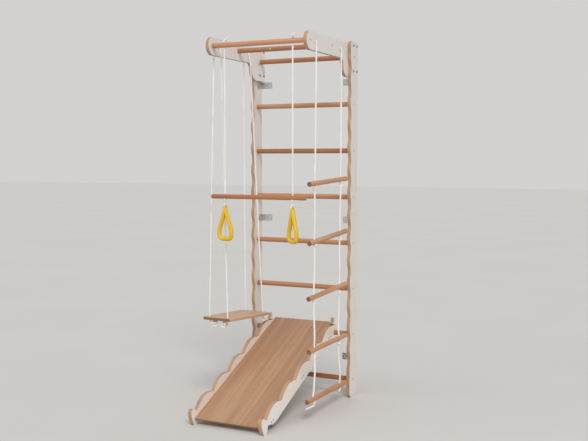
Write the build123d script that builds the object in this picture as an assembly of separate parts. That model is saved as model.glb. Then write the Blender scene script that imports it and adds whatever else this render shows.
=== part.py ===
from build123d import *
import math
import os

# Indoor wall bars with a canopy, swing, trapeze with rings, rope ladder and slide.
# Millimetres. X along the wall, +Y towards the wall, +Z up.
# Origin: on the floor line, midway between the side panels, in the plane of the wall.
# Left and right are as seen by someone facing the wall, so +X is right; -Y is front.
# In functions, sign is +1 for the right-hand side and -1 for the left.

os.makedirs("parts", exist_ok=True)

# ---------------------------------------------------------------- shared dimensions
PANEL_HEIGHT = 2160.0
PLY = 22.0                      # plywood thickness
INNER_X = 318.0                 # inner face of each side panel
OUTER_X = INNER_X + PLY
ARM_INNER_X = INNER_X - PLY     # the canopy arms lie against the panels' inner faces
PLY_ROUND = 2.0                 # rounding of plywood edges
SEAM_Z = 1126.0                 # butt joint between lower and upper panel

SOCKET = 6.0                    # depth of the blind sockets that hold rungs and bars
SOCKET_FIT = 0.05               # radial play of a rod in its socket
SCREW_FIT = 0.03                # radial play of a screw or dowel in its hole
END_GAP = 0.1                   # gap at the end of a rung or bar in its socket

RUNG_Y = -58.0
RUNG_R = 15.0
RUNG_PITCH = 280.0
RUNG_Z = [2066.0 - RUNG_PITCH * i for i in range(8)]    # top to bottom

BAR_R = 14.5
FRONT_BAR = (-638.0, 2101.0)    # y, z
PULL_BAR = (-338.5, 2105.0)
CAP_X = (-76.5, 76.5)           # covers in the face of the pull-up bar

ROPE_HOLE_Y = (-575.0, -225.0)  # rope holes through the canopy arms: front, rear
ROPE_HOLE_Z = 2105.0
ROPE_HOLE_R = 6.5

SCREW_R = 2.4
SCREW_HEAD_R = 4.5
SCREW_HEAD_H = 2.6
RUNG_SCREW_L = [72] + [58] * 7  # the top rung's screws also pass through the arms
BAR_SCREW_L = 58
LOCK_SCREW = (-81.0, 2049.0)    # y, z of the screw from each arm into its panel
LOCK_SCREW_R = 2.0
LOCK_HEAD_R = 6.0
LOCK_SCREW_L = 34

BOLTS = [(y, z) for z in (1982.0, 2133.0) for y in (-68.0, -16.0)]
BOLT_R = 3.0
NUT_R = 4.5                     # sleeve of the connector nut
BOLT_HEAD_R = 7.0
BOLT_HEAD_H = 2.4

DOWEL_Y = (-78.0, -28.0)
DOWEL_X = INNER_X + PLY / 2
DOWEL_R = 4.0
DOWEL_HALF = 30.0               # half length

BRACKET_Z = {"top": 1923.0, "middle": 1081.0, "bottom": 230.0}
BRACKET_SCREWS = [(-18.0, 10.0), (-46.0, -10.0)]    # y, height above the bracket's middle
BRACKET_SCREW_R = 2.0

TRAPEZE_ROPE_X = {"left": -219.5, "right": 212.0}

SIDES = (-1, 1)
ON_BASE = (Align.CENTER, Align.CENTER, Align.MIN)
pieces = {}


# ---------------------------------------------------------------- helpers
def rod(start, end, radius):
    start, end = Vector(*start), Vector(*end)
    axis = end - start
    return Plane(origin=start, z_dir=axis) * Cylinder(radius, axis.length, align=ON_BASE)


def x_rod(x_start, x_end, y, z, radius):
    return rod((x_start, y, z), (x_end, y, z), radius)


def z_rod(x, y, z_start, z_end, radius):
    return rod((x, y, z_start), (x, y, z_end), radius)


def round_ends(cylinder, rounding):
    return fillet(cylinder.edges().filter_by(GeomType.CIRCLE), rounding)


def ball(centre, radius):
    return Pos(*centre) * Sphere(radius)


def corner(y, z, radius, angle_start, angle_end):
    """Arc about (y, z) in the Y-Z plane, and its end point."""
    angles = (angle_start, (angle_start + angle_end) / 2, angle_end)
    points = [(y + radius * math.cos(math.radians(a)), z + radius * math.sin(math.radians(a)))
              for a in angles]
    return ThreePointArc(*points), points[2]


def slab(outline, x_low, x_high):
    """Plate with an outline drawn in the Y-Z plane."""
    plane = Plane(origin=(x_low, 0, 0), x_dir=(0, 1, 0), z_dir=(1, 0, 0))
    return extrude(plane * Face(Wire(outline)), amount=x_high - x_low)


def face_edges(plate, x_low, x_high):
    """Outline edges on both faces of a plate."""
    return [e for e in plate.edges()
            if abs(e.center().X - x_low) < 1e-4 or abs(e.center().X - x_high) < 1e-4]


def rounded_slab(outline, x_low, x_high):
    plate = slab(outline, x_low, x_high)
    return fillet(face_edges(plate, x_low, x_high), PLY_ROUND)


def along_x(x, y, z, direction):
    """Plane at a point, facing +X or -X."""
    return Plane(origin=(x, y, z), z_dir=(direction, 0, 0))


def hex_socket(x, y, z, direction, radius, depth):
    return along_x(x, y, z, direction) * extrude(RegularPolygon(radius, 6), amount=depth)


def screw(x, y, z, direction, length, head_radius=SCREW_HEAD_R, radius=SCREW_R):
    """Countersunk screw driven along X, its head flush at x."""
    cone = Cone(head_radius, radius, SCREW_HEAD_H, align=ON_BASE)
    head = along_x(x, y, z, direction) * cone
    shank = x_rod(x + SCREW_HEAD_H * direction, x + length * direction, y, z, radius)
    return head + shank - hex_socket(x, y, z, direction, 1.6, 1.6)


def screw_hole(x, y, z, direction, length, head_radius=SCREW_HEAD_R, radius=SCREW_R):
    cone = Cone(head_radius + SCREW_FIT, radius + SCREW_FIT, SCREW_HEAD_H + 0.02 + SCREW_FIT,
                align=ON_BASE)
    head = along_x(x - 0.02 * direction, y, z, direction) * cone
    return head + x_rod(x + direction, x + (length + 0.5) * direction, y, z, radius + SCREW_FIT)


def round_head(x, y, z, direction, radius, height, rounding):
    """Flat head standing out from x, its outermost edge rounded."""
    head = x_rod(x, x + direction * height, y, z, radius)
    circles = head.edges().filter_by(GeomType.CIRCLE).sort_by(Axis.X)
    return fillet(circles[-1 if direction > 0 else 0], rounding)


def one(shape):
    solids = shape.solids()
    return solids[0] if len(solids) == 1 else Compound(children=list(solids))


def group(shapes):
    """One piece made of several single solids."""
    return Compound(children=[shape.solids()[0] for shape in shapes])


# ---------------------------------------------------------------- side panels
EDGE_MEAN_Y = -103.0            # middle of the wavy front edge
EDGE_AMP = 6.5
EDGE_PERIOD = 136.0
EDGE_DATUM = 26.0               # the crests lie whole periods above this height
REAR_BOTTOM_R, REAR_TOP_R = 50.0, 20.0
FRONT_BOTTOM_R, FRONT_TOP_R = 30.0, 32.0


def panel_outline():
    crest_y = EDGE_MEAN_Y - EDGE_AMP
    low_crest = EDGE_DATUM + EDGE_PERIOD
    high_crest = EDGE_DATUM + 15 * EDGE_PERIOD
    half, quarter = EDGE_PERIOD / 2, EDGE_PERIOD / 4

    # rear edge upwards, then the top forwards
    edges = [Line((0, REAR_BOTTOM_R), (0, PANEL_HEIGHT - REAR_TOP_R))]
    arc, end = corner(-REAR_TOP_R, PANEL_HEIGHT - REAR_TOP_R, REAR_TOP_R, 0, 90)
    edges += [arc, Line(end, (crest_y + FRONT_TOP_R, PANEL_HEIGHT))]
    arc, end = corner(crest_y + FRONT_TOP_R, PANEL_HEIGHT - FRONT_TOP_R, FRONT_TOP_R, 90, 180)
    edges += [arc, Line(end, (crest_y, high_crest))]

    # front edge downwards: a quarter wave, half waves, a quarter wave, all tangent arcs
    radius = (quarter ** 2 + EDGE_AMP ** 2) / (2 * EDGE_AMP)
    mid_angle = math.asin(quarter / radius) / 2
    mid_y = crest_y + radius - radius * math.cos(mid_angle)
    mid_drop = radius * math.sin(mid_angle)
    z = high_crest - quarter
    edges.append(ThreePointArc((crest_y, high_crest), (mid_y, high_crest - mid_drop),
                               (EDGE_MEAN_Y, z)))
    bulge = EDGE_AMP
    while z - half > low_crest:
        edges.append(ThreePointArc((EDGE_MEAN_Y, z), (EDGE_MEAN_Y + bulge, z - quarter),
                                   (EDGE_MEAN_Y, z - half)))
        z -= half
        bulge = -bulge
    edges.append(ThreePointArc((EDGE_MEAN_Y, z), (mid_y, low_crest + mid_drop),
                               (crest_y, low_crest)))

    # straight foot of the front edge, then the bottom back to the wall
    edges.append(Line((crest_y, low_crest), (crest_y, FRONT_BOTTOM_R)))
    arc, end = corner(crest_y + FRONT_BOTTOM_R, FRONT_BOTTOM_R, FRONT_BOTTOM_R, 180, 270)
    edges += [arc, Line(end, (-REAR_BOTTOM_R, 0))]
    arc, end = corner(-REAR_BOTTOM_R, REAR_BOTTOM_R, REAR_BOTTOM_R, 270, 360)
    return edges + [arc]


def side_panel(sign):
    """Lower and upper half of one side panel."""
    inner, outer = sign * INNER_X, sign * OUTER_X
    faces = sorted((inner, outer))
    panel = rounded_slab(panel_outline(), *faces)
    cuts = []
    for i, z in enumerate(RUNG_Z):
        if i > 0:    # the top rung is held by the canopy arms
            cuts.append(x_rod(inner - sign, inner + sign * SOCKET, RUNG_Y, z,
                              RUNG_R + SOCKET_FIT))
        cuts.append(screw_hole(outer, RUNG_Y, z, -sign, RUNG_SCREW_L[i]))
    for y, z in BOLTS:
        cuts.append(x_rod(inner - sign, outer + sign, y, z, NUT_R + SOCKET_FIT))
    reach = DOWEL_HALF + 0.2
    for y in DOWEL_Y:
        cuts.append(z_rod(sign * DOWEL_X, y, SEAM_Z - reach, SEAM_Z + reach,
                          DOWEL_R + SCREW_FIT))
    for z in BRACKET_Z.values():
        for y, rise in BRACKET_SCREWS:
            cuts.append(x_rod(inner - sign, inner + sign * 16.2, y, z + rise,
                              BRACKET_SCREW_R + SCREW_FIT))
    lock_depth = LOCK_SCREW_L - PLY + 0.2
    cuts.append(x_rod(inner - sign, inner + sign * lock_depth, *LOCK_SCREW,
                      LOCK_SCREW_R + SCREW_FIT))
    for cut in cuts:
        panel = panel - cut
    # fine groove where the two halves meet
    for x in faces:
        panel = panel - Pos(x, -60, SEAM_Z) * Box(1.4, 200, 1.2)
    half_space = Box(2000, 2000, 2500)
    lower = panel & Pos(0, 0, SEAM_Z - 1250) * half_space
    upper = panel & Pos(0, 0, SEAM_Z + 1250) * half_space
    return one(lower), one(upper)


def panel_dowel(sign, y):
    dowel = z_rod(sign * DOWEL_X, y, SEAM_Z - DOWEL_HALF, SEAM_Z + DOWEL_HALF, DOWEL_R)
    return round_ends(dowel, 0.8)


pieces["right_panel_lower"], pieces["right_panel_upper"] = side_panel(1)
pieces["left_panel_lower"], pieces["left_panel_upper"] = side_panel(-1)
pieces["panel_dowels"] = group(panel_dowel(sign, y) for sign in SIDES for y in DOWEL_Y)


# ---------------------------------------------------------------- rungs
def rung(i, z):
    end = (ARM_INNER_X if i == 0 else INNER_X) + SOCKET - END_GAP
    solid = round_ends(x_rod(-end, end, RUNG_Y, z, RUNG_R), 1.0)
    for sign in SIDES:
        solid = solid - screw_hole(sign * OUTER_X, RUNG_Y, z, -sign, RUNG_SCREW_L[i])
    return one(solid)


for i, z in enumerate(RUNG_Z):
    pieces[f"rung_{i + 1}"] = rung(i, z)
pieces["rung_screws"] = group(
    screw(sign * OUTER_X, RUNG_Y, z, -sign, length)
    for z, length in zip(RUNG_Z, RUNG_SCREW_L) for sign in SIDES)

# ---------------------------------------------------------------- canopy arms
ARM_BOTTOM = 1946.0
ARM_TOP = 2152.0
ARM_NOSE_Y = -631.0             # centre of the round front end
ARM_NOSE_R = 52.0
ARM_LOW = ARM_TOP - 2 * ARM_NOSE_R    # underside of the overhang
ARM_FOOT_Y = -172.0             # front of the part that lies on the panel
ARM_HOLLOW_R = 38.0             # hollow corner under the overhang
ARM_FRONT_R, ARM_REAR_R, ARM_TOP_R = 58.0, 8.0, 20.0


def arm_outline():
    edges = [Line((0, ARM_BOTTOM + ARM_REAR_R), (0, ARM_TOP - ARM_TOP_R))]
    arc, end = corner(-ARM_TOP_R, ARM_TOP - ARM_TOP_R, ARM_TOP_R, 0, 90)
    edges += [arc, Line(end, (ARM_NOSE_Y, ARM_TOP))]
    hollow_y = ARM_FOOT_Y - ARM_HOLLOW_R
    arc, end = corner(ARM_NOSE_Y, ARM_TOP - ARM_NOSE_R, ARM_NOSE_R, 90, 270)
    edges += [arc, Line(end, (hollow_y, ARM_LOW))]
    arc, end = corner(hollow_y, ARM_LOW - ARM_HOLLOW_R, ARM_HOLLOW_R, 90, 0)
    edges += [arc, Line(end, (ARM_FOOT_Y, ARM_BOTTOM + ARM_FRONT_R))]
    arc, end = corner(ARM_FOOT_Y + ARM_FRONT_R, ARM_BOTTOM + ARM_FRONT_R, ARM_FRONT_R, 180, 270)
    edges += [arc, Line(end, (-ARM_REAR_R, ARM_BOTTOM))]
    arc, end = corner(-ARM_REAR_R, ARM_BOTTOM + ARM_REAR_R, ARM_REAR_R, 270, 360)
    return edges + [arc]


def canopy_arm(sign):
    inner, outer = sign * ARM_INNER_X, sign * INNER_X
    arm = rounded_slab(arm_outline(), *sorted((inner, outer)))
    for y in ROPE_HOLE_Y:
        arm = arm - x_rod(inner - sign, outer + sign, y, ROPE_HOLE_Z, ROPE_HOLE_R)
    for y, z in BOLTS:
        arm = arm - x_rod(inner - sign, outer + sign, y, z, NUT_R + SOCKET_FIT)
    socket_end = inner + sign * SOCKET
    for y, z in (FRONT_BAR, PULL_BAR):
        arm = arm - x_rod(inner - sign, socket_end, y, z, BAR_R + SOCKET_FIT)
        arm = arm - screw_hole(outer, y, z, -sign, BAR_SCREW_L)
    arm = arm - x_rod(inner - sign, socket_end, RUNG_Y, RUNG_Z[0], RUNG_R + SOCKET_FIT)
    arm = arm - x_rod(inner, outer + sign, RUNG_Y, RUNG_Z[0], SCREW_R + SCREW_FIT)
    arm = arm - screw_hole(inner, *LOCK_SCREW, sign, LOCK_SCREW_L,
                           head_radius=LOCK_HEAD_R, radius=LOCK_SCREW_R)
    return one(arm)


pieces["right_canopy_arm"] = canopy_arm(1)
pieces["left_canopy_arm"] = canopy_arm(-1)

# ---------------------------------------------------------------- canopy bars
CAP_STEM_R = 4.0
CAP_BORE_DEPTH_Y = 6.0          # the bores stop this far in front of the bar's axis


def canopy_bar(y, z):
    end = ARM_INNER_X + SOCKET - END_GAP
    bar = round_ends(x_rod(-end, end, y, z, BAR_R), 1.0)
    for sign in SIDES:
        bar = bar - screw_hole(sign * INNER_X, y, z, -sign, BAR_SCREW_L)
    return bar


def front_bar():
    y, z = FRONT_BAR
    bar = canopy_bar(y, z)
    for x in TRAPEZE_ROPE_X.values():
        bar = bar - z_rod(x, y, z - 30, z + 30, 6.0)
    return one(bar)


def pull_up_bar():
    y, z = PULL_BAR
    bar = canopy_bar(y, z)
    for x in CAP_X:
        bar = bar - rod((x, y - 20, z), (x, y - CAP_BORE_DEPTH_Y, z), CAP_STEM_R + SCREW_FIT)
    return one(bar)


def pull_up_cap(x):
    """Small domed cover pressed into a bore in the front of the pull-up bar."""
    y, z = PULL_BAR
    stem = rod((x, y - BAR_R + 0.5, z), (x, y - CAP_BORE_DEPTH_Y - 0.2, z), CAP_STEM_R)
    dome = Pos(x, y - BAR_R + 7.4, z) * Rot(90, 0, 0) * Sphere(10.2)
    dome = dome & Pos(x, y - BAR_R - 4.0, z) * Box(15, 8.2, 15)
    bar = x_rod(x - 20, x + 20, y, z, BAR_R + 0.02)
    return stem + (dome - bar)


pieces["front_bar"] = front_bar()
pieces["pull_up_bar"] = pull_up_bar()
pieces["pull_up_bar_caps"] = group(pull_up_cap(x) for x in CAP_X)
pieces["bar_screws"] = group(
    screw(sign * INNER_X, y, z, -sign, BAR_SCREW_L)
    for sign in SIDES for y, z in (FRONT_BAR, PULL_BAR))


# ---------------------------------------------------------------- canopy fasteners
def bolt_socket(x, y, z, direction):
    return hex_socket(x, y, z, direction, 2.4, 3.0)


def connector_bolt(sign, y, z):
    """Bolt with its head on the panel's outer face."""
    x = sign * OUTER_X
    head = round_head(x, y, z, sign, BOLT_HEAD_R, BOLT_HEAD_H, 1.0)
    bolt = head + x_rod(x, x - sign * 32, y, z, BOLT_R)
    return bolt - bolt_socket(x + sign * BOLT_HEAD_H, y, z, -sign)


def connector_nut(sign, y, z):
    """Sleeve nut with its head on the arm's inner face."""
    x = sign * ARM_INNER_X
    head = round_head(x, y, z, -sign, BOLT_HEAD_R, BOLT_HEAD_H, 1.0)
    nut = head + x_rod(x, x + sign * 30, y, z, NUT_R)
    nut = nut - x_rod(x + sign * 8, x + sign * 31, y, z, BOLT_R + 0.04)
    return nut - bolt_socket(x - sign * BOLT_HEAD_H, y, z, sign)


pieces["canopy_bolts"] = group(connector_bolt(sign, y, z) for sign in SIDES for y, z in BOLTS)
pieces["canopy_nuts"] = group(connector_nut(sign, y, z) for sign in SIDES for y, z in BOLTS)
pieces["arm_lock_screws"] = group(
    screw(sign * ARM_INNER_X, *LOCK_SCREW, sign, LOCK_SCREW_L,
          head_radius=LOCK_HEAD_R, radius=LOCK_SCREW_R)
    for sign in SIDES)

# ---------------------------------------------------------------- wall brackets
BRACKET_H = 40.0
BRACKET_WALL = 74.0             # length of the leg on the wall
BRACKET_SIDE = 60.0             # length of the leg on the side panel
BRACKET_T = 2.5
WALL_HOLE_X = 262.0
WALL_HOLE_R = 4.0


def wall_bracket(sign, z):
    t = BRACKET_T
    wall_leg = Pos(sign * (INNER_X - BRACKET_WALL / 2), -t / 2, z) * Box(
        BRACKET_WALL, t, BRACKET_H)
    side_leg = Pos(sign * (INNER_X - t / 2), -BRACKET_SIDE / 2, z) * Box(
        t, BRACKET_SIDE, BRACKET_H)
    bracket = wall_leg + side_leg
    corners = [e for e in bracket.edges().filter_by(Axis.Y)
               if abs(abs(e.center().X) - (INNER_X - BRACKET_WALL)) < 0.01]
    corners += [e for e in bracket.edges().filter_by(Axis.X)
                if abs(e.center().Y + BRACKET_SIDE) < 0.01]
    bracket = fillet(corners, 5)
    inner_bend = [e for e in bracket.edges().filter_by(Axis.Z)
                  if abs(e.center().Y + t) < 0.01
                  and abs(abs(e.center().X) - (INNER_X - t)) < 0.01]
    bracket = fillet(inner_bend, 2.0)

    # one large hole and three pairs of small ones in the wall leg
    holes = [(0.0, 0.0, WALL_HOLE_R)]
    holes += [(offset, rise, 3.3) for offset in (-14.0, 13.0, 28.0) for rise in (-11.0, 11.0)]
    for offset, rise, radius in holes:
        x = sign * (WALL_HOLE_X + offset)
        bracket = bracket - rod((x, -t - 1, z + rise), (x, 1, z + rise), radius)
    for y in (-18.0, -32.0, -46.0):
        for rise in (-10.0, 10.0):
            bracket = bracket - x_rod(sign * (INNER_X - t - 1), sign * (INNER_X + 1),
                                      y, z + rise, BRACKET_SCREW_R + 0.1)
    return one(bracket)


def bracket_screw(sign, y, z):
    """Round-headed screw with a cross slot, through the bracket into the panel."""
    x = sign * (INNER_X - BRACKET_T)
    head = round_head(x, y, z, -sign, 3.8, 2.0, 0.9)
    body = head + x_rod(x, x + sign * 18, y, z, BRACKET_SCREW_R)
    slot_centre = Pos(x - sign * 2.0, y, z)
    return body - (slot_centre * Box(2.0, 5.0, 1.0) + slot_centre * Box(2.0, 1.0, 5.0))


for level, z in BRACKET_Z.items():
    pieces[f"wall_bracket_{level}_left"] = wall_bracket(-1, z)
    pieces[f"wall_bracket_{level}_right"] = wall_bracket(1, z)
pieces["bracket_screws"] = group(
    bracket_screw(sign, y, z + rise)
    for sign in SIDES for z in BRACKET_Z.values() for y, rise in BRACKET_SCREWS)

# ---------------------------------------------------------------- trapeze with rings
TRAPEZE_Y = FRONT_BAR[0]
TRAPEZE_Z = 1241.0
TRAPEZE_R = 13.0
TRAPEZE_X = (-308.0, 294.0)     # ends of the bar
TRAPEZE_ROPE_R = 5.0
TRAPEZE_KNOT_Z = 1218.0         # knots under the trapeze bar
BAR_TOP_Z = FRONT_BAR[1] + BAR_R
BAR_UNDER_Z = FRONT_BAR[1] - BAR_R

RING_TURN = {"left": -8.0, "right": -36.0}    # turn of each ring about the vertical
RING_TUBE_R = 12.3
RING_APEX = 1168.0
RING_HOLE_Z = 1182.5
LOOP_R, LOOP_TUBE_R, LOOP_Z = 11.0, 3.0, 1192.0
# centre line of the right half of a ring: distance from its axis, height
RING_HALF = [
    (0, RING_APEX), (15.5, RING_APEX - 44), (29.5, RING_APEX - 84),    # straight side
    (39.5, 1058), (43.6, 1040), (43.2, 1020), (37.0, 1003.5),          # rounded hip
    (23.0, 997.4), (0, 997),                                           # flat grip
]


def trapeze_bar():
    bar = round_ends(x_rod(*TRAPEZE_X, TRAPEZE_Y, TRAPEZE_Z, TRAPEZE_R), 4.0)
    for x in TRAPEZE_ROPE_X.values():
        bar = bar - z_rod(x, TRAPEZE_Y, TRAPEZE_Z - 30, TRAPEZE_Z + 30, TRAPEZE_ROPE_R + 0.6)
    return one(bar)


def front_bar_knot(x):
    """Stopper knot on top of the front bar, with the length of rope inside the bar."""
    return ball((x, TRAPEZE_Y, BAR_TOP_Z + 9.6), 10.0) + z_rod(
        x, TRAPEZE_Y, BAR_UNDER_Z, BAR_TOP_Z + 6, TRAPEZE_ROPE_R)


def trapeze_rope(x):
    rope = z_rod(x, TRAPEZE_Y, TRAPEZE_KNOT_Z, BAR_UNDER_Z - 8, TRAPEZE_ROPE_R)
    return one(rope + ball((x, TRAPEZE_Y, TRAPEZE_KNOT_Z), 9.0))


def teardrop_ring():
    slant = math.atan2(*RING_HALF[1][:1], 44.0)
    start_direction = (math.sin(slant), 0, -math.cos(slant))
    path = Spline([(x, 0, z) for x, z in RING_HALF], tangents=[start_direction, (-1, 0, 0)])
    profile = Plane(origin=(0, 0, RING_APEX), z_dir=start_direction) * Circle(RING_TUBE_R)
    right = sweep(profile, path=path)
    left = mirror(right, about=Plane.YZ)
    body = right + left + Pos(0, 0, RING_APEX) * Sphere(RING_TUBE_R)
    boss = rod((0, -5, RING_HOLE_Z), (0, 5, RING_HOLE_Z), 10.5)
    return body + boss - rod((0, -20, RING_HOLE_Z), (0, 20, RING_HOLE_Z), 5.5)


pieces["trapeze_bar"] = trapeze_bar()
for side, x in TRAPEZE_ROPE_X.items():
    place = Pos(x, TRAPEZE_Y, 0) * Rot(0, 0, RING_TURN[side])
    loop = Pos(0, 0, LOOP_Z) * Rot(0, 90, 0) * Torus(LOOP_R, LOOP_TUBE_R)
    pieces[f"trapeze_rope_{side}"] = trapeze_rope(x)
    pieces[f"ring_{side}"] = one(place * teardrop_ring())
    pieces[f"ring_loop_{side}"] = one(place * loop)
pieces["front_bar_knots"] = group(front_bar_knot(x) for x in TRAPEZE_ROPE_X.values())

# ---------------------------------------------------------------- rope ladder
LADDER_X = 326.0
LADDER_ROPE_R = 5.5
LADDER_RUNG_R = 14.0
LADDER_KNOT_R = 11.0
LADDER_TOP_Y = (-578.0, -230.0)
# each rung: front end (y, z), rear end (y, z), y of the front and rear rope
LADDER = [
    ((-665.0, 1318.0), (-141.0, 1340.0), (-590.0, -227.0)),
    ((-664.0, 993.0), (-138.0, 1026.0), (-600.0, -237.0)),
    ((-675.0, 688.0), (-140.0, 707.0), (-603.0, -247.0)),
    ((-670.0, 393.0), (-148.0, 395.0), (-600.0, -247.0)),
    ((-692.0, 117.0), (-150.0, 107.0), (-609.0, -241.0)),
]


def ladder_step(front, rear, rope_y, rope_tops, top_gap):
    """Rung, the two ropes that carry it, and the centres of the knots below it."""
    step = round_ends(rod((LADDER_X, *front), (LADDER_X, *rear), LADDER_RUNG_R), 2.5)
    slope = (rear[1] - front[1]) / (rear[0] - front[0])
    ropes, knots = [], []
    for y, top in zip(rope_y, rope_tops):
        crossing = Vector(LADDER_X, y, front[1] + slope * (y - front[0]))
        down = (crossing - top).normalized()
        knot = crossing + down * (LADDER_RUNG_R + LADDER_KNOT_R + 0.3)
        ropes.append(rod(top + down * top_gap, knot, LADDER_ROPE_R) + ball(knot, LADDER_KNOT_R))
        step = step - rod(crossing - down * 30, crossing + down * 30, LADDER_ROPE_R + 0.4)
        knots.append(knot)
    return one(step), group(ropes), knots


def ladder_top_knot(y):
    """Stopper knot on the right arm's inner side, with the rope through the arm to its bend."""
    knot_x, end_x = ARM_INNER_X - 10.4, LADDER_X + 3.0
    turn = Rot(0, 90, 0)
    knot = Pos(knot_x, y, ROPE_HOLE_Z) * turn * Sphere(10.0)
    rope = Cylinder(LADDER_ROPE_R, end_x - knot_x)
    return knot + Pos((knot_x + end_x) / 2, y, ROPE_HOLE_Z) * turn * rope


rope_tops = [Vector(LADDER_X, y, ROPE_HOLE_Z) for y in LADDER_TOP_Y]
top_gap = 8.0
for i, (front, rear, rope_y) in enumerate(LADDER, start=1):
    pieces[f"ladder_rung_{i}"], pieces[f"ladder_ropes_{i}"], rope_tops = ladder_step(
        front, rear, rope_y, rope_tops, top_gap)
    top_gap = LADDER_KNOT_R + 1.0
pieces["ladder_top_knots"] = group(ladder_top_knot(y) for y in ROPE_HOLE_Y)

# ---------------------------------------------------------------- swing
SEAT_CENTRE = (-288.8, -388.0, 504.2)
SEAT_PITCH = -3.65
SEAT_YAW = -1.75
SEAT_L, SEAT_W, SEAT_T = 460.0, 189.0, 18.0
SEAT_HOLE = (62.5, 206.5)       # rope holes from the seat's middle, across and along
SWING_ROPE_R = 4.0
LEG_TOP_X = {-1: -326.5, 1: -281.5}    # rope outside and inside the left arm
LEG_START_Z = 2030.0
SADDLE_END_Z = 2062.0
SEAT_PLACE = Pos(*SEAT_CENTRE) * Rot(0, 0, SEAT_YAW) * Rot(SEAT_PITCH, 0, 0)


def swing_seat():
    seat = Box(SEAT_W, SEAT_L, SEAT_T)
    seat = fillet(seat.edges().filter_by(Axis.Z), 9)
    seat = fillet(seat.edges().filter_by(Plane.XY), 3)
    for across in SIDES:
        for along in SIDES:
            seat = seat - z_rod(across * SEAT_HOLE[0], along * SEAT_HOLE[1], -20, 20, 5.2)
    return one(SEAT_PLACE * seat)


def leg_line(across, along, y):
    """Top of a rope leg at the arm, its seat hole, and the direction between them."""
    top = Vector(LEG_TOP_X[across], y, ROPE_HOLE_Z)
    hole = (SEAT_PLACE * Pos(across * SEAT_HOLE[0], along * SEAT_HOLE[1], 0)).position
    return top, hole, (hole - top).normalized()


def swing_leg(across, along, y):
    top, hole, down = leg_line(across, along, y)
    start = top + down * ((ROPE_HOLE_Z - LEG_START_Z) / -down.Z)
    knot = hole + down * (SEAT_T / 2 + 10.3)
    return rod(start, knot, SWING_ROPE_R) + ball(knot, 9.5)


def swing_saddle(along, y):
    """Rope through the left arm and a little way down each of its faces."""
    saddle = x_rod(LEG_TOP_X[-1], LEG_TOP_X[1], y, ROPE_HOLE_Z, SWING_ROPE_R)
    for across in SIDES:
        top, _, down = leg_line(across, along, y)
        end = top + down * ((ROPE_HOLE_Z - SADDLE_END_Z) / -down.Z)
        saddle = saddle + ball(top, SWING_ROPE_R) + rod(top, end, SWING_ROPE_R)
    return saddle


pieces["swing_seat"] = swing_seat()
for name, along, y in zip(("front", "rear"), SIDES, ROPE_HOLE_Y):
    pieces[f"swing_rope_{name}"] = group(swing_leg(across, along, y) for across in SIDES)
pieces["swing_saddles"] = group(swing_saddle(along, y) for along, y in zip(SIDES, ROPE_HOLE_Y))

# ---------------------------------------------------------------- slide
RAIL_OUTER_X = {1: 217.0, -1: -238.0}
SLOPE = 0.417                   # rise per unit of depth
SLOPE_ANGLE = math.atan(SLOPE)
SLIDE_ORIGIN = (-801.0, 61.5)   # front end (y, z) of the rails' straight lower edge

# upper edge of the rails: lobes between cusps; heights are above the lower edge
CUSP_FIRST = -958.0             # y of the cusp in front of the first lobe
CUSP_PITCH = 178.3
CUSP_HEIGHT = [77.0, 68.0, 66.5, 66.0, 65.0, 64.0]
LOBE_HEIGHT = [36.0, 36.0, 34.0, 33.0, 32.0]
LOBE_SKEW = 0.85                # below 1 moves each lobe's crown towards the foot
LOBE_STATIONS = [0.0, 0.06, 0.14, 0.25, 0.38, 0.5, 0.62, 0.75, 0.88, 1.0]
WAVE_END = -98.0                # y where the last lobe is cut short

# foot (y, z): from the first cusp over the horn and down the front to the floor
FOOT_FRONT = [
    (-969, 77), (-982, 84), (-995, 90.5), (-1009, 88), (-1018, 76), (-1018, 58),
    (-1011, 38), (-1002, 18), (-995, 5), (-984, 0),
]
# underside of the foot (y, z): from the floor to the straight lower edge
FOOT_REAR = [
    (-968, 0), (-955, 9), (-951, 25), (-946, 38), (-930, 42), (-905, 37), (-880, 36),
    (-850, 44.5), SLIDE_ORIGIN,
]
# hook over the rung
HOOK_R = RUNG_R + 0.1
HOOK_START_Y = -96              # rear end of the straight lower edge
HOOK_NOSE_MID = (-82, 361.5)
HOOK_NOSE_Z = 372
# lip (y, z): from behind the rung over the top, ending at the last lobe
HOOK_LIP = [
    (-35, RUNG_Z[6]), (-29, 392), (-30, 408), (-41, 426), (-51, 443), (-51, 462),
    (-57, 477), (-67, 477), (-71, 464), (-75, 451), (-83, 441),
]

BOARD_T = 10.0
BOARD_TOP = 48.0                # board surface above the rails' lower edge
BOARD_Y = (-986.0, -13.0)       # ends of the board surface
BATTEN_Y = {"lower": -905.0, "middle": -530.0, "upper": -150.0}    # front ends
BATTEN_LOW, BATTEN_HIGH = 18.0, BOARD_TOP - BOARD_T - 0.05
BATTEN_W = 45.0
SLIDE_SCREW_L = 52
SLIDE_SCREW_R = 2.0


def lower_edge(y):
    return SLIDE_ORIGIN[1] + SLOPE * (y - SLIDE_ORIGIN[0])


def lobe_point(k, f):
    """Point on lobe k of the rails' upper edge, f from 0 to 1 along it."""
    y = CUSP_FIRST + (k + f) * CUSP_PITCH
    chord = CUSP_HEIGHT[k] * (1 - f) + CUSP_HEIGHT[k + 1] * f
    crown = LOBE_HEIGHT[k] * math.sin(math.pi * f ** LOBE_SKEW)
    return (y, lower_edge(y) + chord + crown)


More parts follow.
